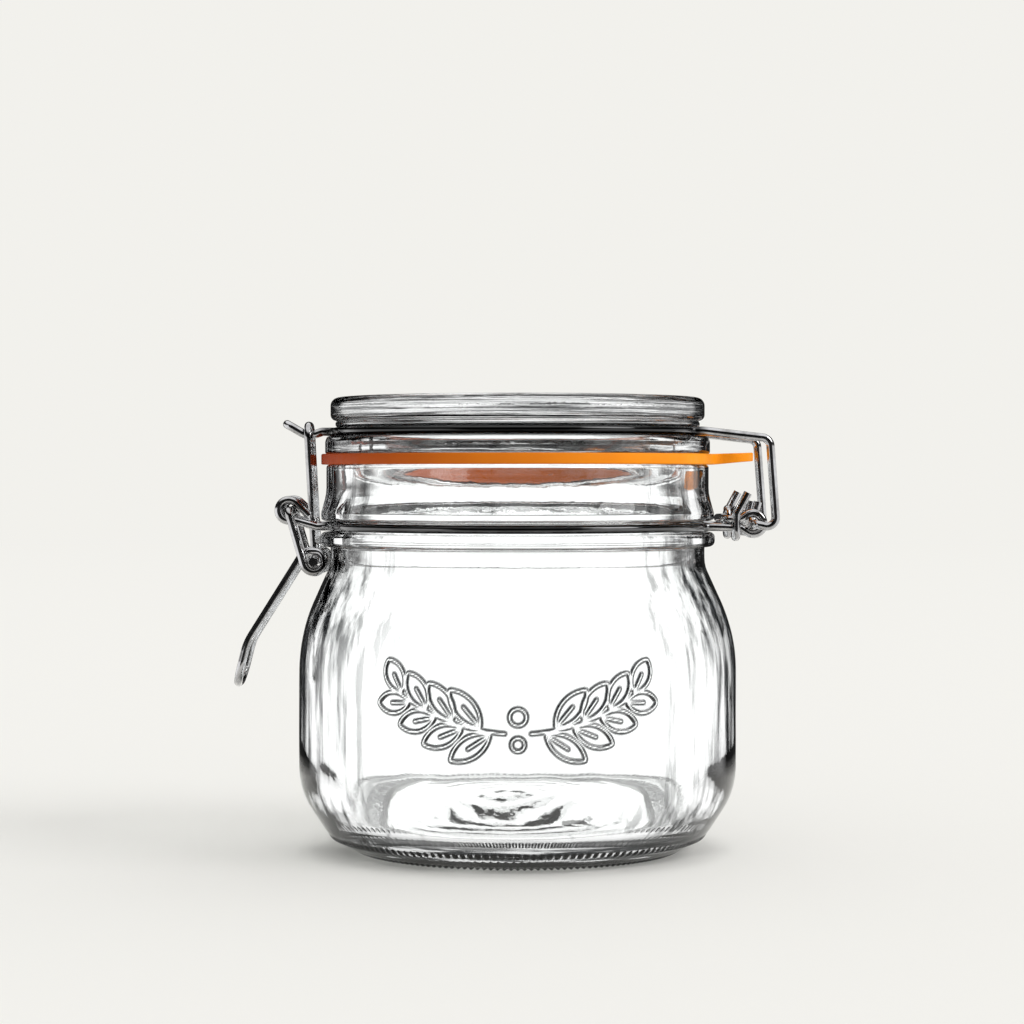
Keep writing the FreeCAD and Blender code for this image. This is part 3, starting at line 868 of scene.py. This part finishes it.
def steel(name, tint):
    """Bright drawn wire with fine die lines and a little tarnish, with painted sheen where it is
    seen edge-on and painted shade where it lies in a groove.
    """
    material, tree, shader = node_material(name)
    where = add(tree, "ShaderNodeTexCoord").outputs["Object"]
    shader.inputs["Metallic"].default_value = 1.0
    clean = (0.55 * tint, 0.55 * tint, 0.56 * tint, 1)
    tarnished = (0.30 * tint, 0.295 * tint, 0.29 * tint, 1)
    tarnish = ramp(tree, noise(tree, where, 220.0, 5.0, 0.6), 0.42, 0.68, 0.0, 1.0)
    # Painted shade where the wire lies in a groove
    in_groove = over(tree, from_axis(tree, where), wire_shade_r, 1.0, 0.0)
    face = blend(tree, tarnish, clean, tarnished)
    face = blend(tree, in_groove, face, (0.05, 0.05, 0.05, 1))
    # Painted sheen: brighter where the wire is seen edge-on, duller in a groove
    edge = blend(tree, in_groove, (0.9, 0.9, 0.9, 1), (0.3, 0.3, 0.3, 1))
    edge_on = ramp(tree, seen_edge_on(tree), 0.45, 0.85, 0.0, 1.0)
    tree.links.new(blend(tree, edge_on, face, edge), shader.inputs["Base Color"])
    drawn = noise(tree, where, 1500.0, 3.0, 0.6)
    tree.links.new(ramp(tree, drawn, 0.3, 0.8, 0.07, 0.2), shader.inputs["Roughness"])
    dents = bumped(tree, noise(tree, where, 400.0, 2.0), 0.12, 0.0002)
    tree.links.new(bumped(tree, drawn, 0.08, 0.00005, dents), shader.inputs["Normal"])
    return material


# ---------------------------------------------------------------- pieces
steel_tints = {
    "neck_wire": 1.0, "lid_wire": 0.95, "lever": 1.0, "link": 0.92,
    "hinge_tie_near": 0.9, "hinge_tie_far": 0.9,
}


def build_jar():
    glass = clear_glass("jar_glass", (1.0, 1.0, 0.12), (0.99, 0.995, 0.993, 1), heel_shade)
    vertices, faces, plain = turned(jar_outline(), jar_parts, jar_relief)
    shell = new_mesh("jar_shell", vertices, faces, glass, "jar", "glass_jar")
    mark_skin(shell, plain, inner_heel_z)


def build_lid():
    glass = clear_glass("lid_glass", (0.3, 0.3, 6.0), (0.96, 0.965, 0.963, 1), lid_shade)
    vertices, faces, plain = turned(lid_outline(), lid_parts, lid_relief)
    shell = new_mesh("lid_shell", vertices, faces, glass, "lid", "glass_lid")
    mark_skin(shell, plain, 0.0)


def build_seal():
    vertices, faces = seal_mesh()
    new_mesh("seal_rubber", vertices, faces, rubber(), "lid", "seal_ring")


def finish_wires():
    for node, tint in steel_tints.items():
        mesh = frame["nodes"][node].data
        mesh.materials.clear()
        mesh.materials.append(steel("steel_" + node, tint))


# ---------------------------------------------------------------- studio
backdrop = (0.888, 0.879, 0.842, 1)
white = (1, 1, 1, 1)
soft_level = 0.80            # light from all round on rubber and floor
side_level = 0.35            # how much stronger it is from +X than from -X
glass_level = 1.25           # surroundings as glass and metal show them
dark_gaps = 8.0              # narrow dark gaps that light through glass shows
floor_radius = 30.0          # metres
floor_drop = 0.0001          # keeps the floor clear of the jar's foot
floor_fade = (600, 3000)     # it turns into the backdrop over this stretch
floor_end = (150, 250)       # reflections show it no further than this
foot_beneath = (40.0, 45.0)  # under the jar's floor
foot_beside = (50.0, 56.0)   # beside the jar's foot
key_strength = 1.15
key_spread = 32              # degrees
key_from = (1.0, -0.45, 0.8)
focal_length = 94.7
camera_left = 0.00135        # metres from here on
camera_away = 0.66
camera_height = 0.0915
target_height = 0.0824


def floor():
    """A pale floor that fades into the backdrop with the distance."""
    bpy.ops.mesh.primitive_circle_add(
        vertices=128, radius=floor_radius, fill_type="NGON", location=(0, 0, -floor_drop)
    )
    disc = bpy.context.object
    disc.name = "floor"
    material, tree, shader = node_material("pale_floor")
    shader.inputs["Base Color"].default_value = backdrop
    shader.inputs["Roughness"].default_value = 0.9
    shader.inputs["Specular IOR Level"].default_value = 0.0
    place = add(tree, "ShaderNodeNewGeometry").outputs["Position"]
    far = distance_to(tree, place, (axis_x, 0, 0))
    glow = add(tree, "ShaderNodeEmission", {"Color": backdrop, "Strength": 1.0}).outputs[0]
    shown = mix_shaders(tree, over(tree, far, floor_fade, 0.0, 1.0), shader.outputs[0], glow)

    # Through glass it shines like the surroundings, a little less at the foot
    through = light_path(tree, "Is Transmission Ray")
    bright = add(tree, "ShaderNodeEmission", {"Color": white, "Strength": glass_level}).outputs[0]
    beside = over(tree, far, foot_beside, 0.8, 1.0)
    beneath = over(tree, far, foot_beneath, 0.9, 0.0)
    share = combine(tree, "MAXIMUM", beside, beneath)
    shown = mix_shaders(tree, combine(tree, "MULTIPLY", through, share), shown, bright)

    # Reflections see past its end, to the dark strips of the surroundings
    mirrored = combine(tree, "SUBTRACT", light_path(tree, "Is Glossy Ray"), through)
    past_end = over(tree, far, floor_end, 0.0, 1.0)
    gone = combine(tree, "MULTIPLY", mirrored, past_end, clamp=True)
    clear = add(tree, "ShaderNodeBsdfTransparent").outputs[0]
    surface = mix_shaders(tree, gone, shown, clear)
    tree.links.new(surface, tree.nodes["Material Output"].inputs["Surface"])
    disc.data.materials.append(material)


def pick(tree, factor, first, second):
    """The first number where factor is 0, the second where it is 1."""
    inputs = {0: factor, 2: first, 3: second}
    return add(tree, "ShaderNodeMix", inputs, data_type="FLOAT").outputs[0]


def world():
    """Soft white surroundings, with dark strips as glass and metal show them."""
    studio = bpy.data.worlds.new("studio")
    bpy.context.scene.world = studio
    studio.use_nodes = True
    tree = studio.node_tree
    tree.nodes.clear()
    direction = add(tree, "ShaderNodeTexCoord").outputs["Generated"]
    x, y, z = split_up(tree, direction)
    soft = ramp(tree, x, -1.0, 1.0, soft_level - side_level, soft_level + side_level)
    top = ramp(tree, z, 0.6, 0.75, 0.0, glass_level)

    # Through glass: bright panels with narrow gaps, dark above them, bright overhead
    turn = combine(tree, "ARCTAN2", x, y)
    wave = combine(tree, "COSINE", combine(tree, "MULTIPLY", turn, dark_gaps))
    panels = ramp(tree, wave, -0.7, -0.1, 0.05, glass_level)
    panels = combine(tree, "MULTIPLY", panels, ramp(tree, z, 0.24, 0.32, 1.0, 0.02))
    through = combine(tree, "MAXIMUM", panels, top)

    # In reflections: bright to both sides, dark before and behind
    flanks = ramp(tree, combine(tree, "ABSOLUTE", y), 0.68, 0.78, glass_level, 0.03)
    flanks = combine(tree, "MULTIPLY", flanks, ramp(tree, z, 0.10, 0.17, 1.0, 0.02))
    mirrored = combine(tree, "MAXIMUM", flanks, top)

    # A ray that glass lets through also counts as glossy, so it is sorted out last
    strength = pick(tree, light_path(tree, "Is Glossy Ray"), soft, mirrored)
    strength = pick(tree, light_path(tree, "Is Transmission Ray"), strength, through)
    around = add(tree, "ShaderNodeBackground", {"Color": white, "Strength": strength}).outputs[0]
    behind = add(tree, "ShaderNodeBackground", {"Color": backdrop, "Strength": 1.0}).outputs[0]
    surface = mix_shaders(tree, light_path(tree, "Is Camera Ray"), around, behind)
    out = add(tree, "ShaderNodeOutputWorld")
    tree.links.new(surface, out.inputs["Surface"])


def aim(thing, target):
    thing.rotation_euler = (Vector(target) - thing.location).to_track_quat("-Z", "Y").to_euler()


def key_light():
    """The one directed light: broad, soft, low on the right and a little in front."""
    light = bpy.data.lights.new("key", "SUN")
    light.energy = key_strength
    light.angle = math.radians(key_spread)
    holder = bpy.data.objects.new("key", light)
    holder.location = key_from
    aim(holder, (0, 0, 0))
    bpy.context.scene.collection.objects.link(holder)


def camera():
    """Almost level, from the front, a little left of the jar's axis."""
    lens = bpy.data.cameras.new("camera")
    lens.sensor_width = 36
    lens.lens = focal_length
    holder = bpy.data.objects.new("camera", lens)
    holder.location = (axis_x - camera_left, -camera_away, camera_height)
    aim(holder, (axis_x - camera_left, 0, target_height))
    bpy.context.scene.collection.objects.link(holder)
    bpy.context.scene.camera = holder


build_jar()
build_lid()
build_seal()
finish_wires()
floor()
world()
key_light()
camera()
bpy.context.scene.view_settings.view_transform = "Standard"
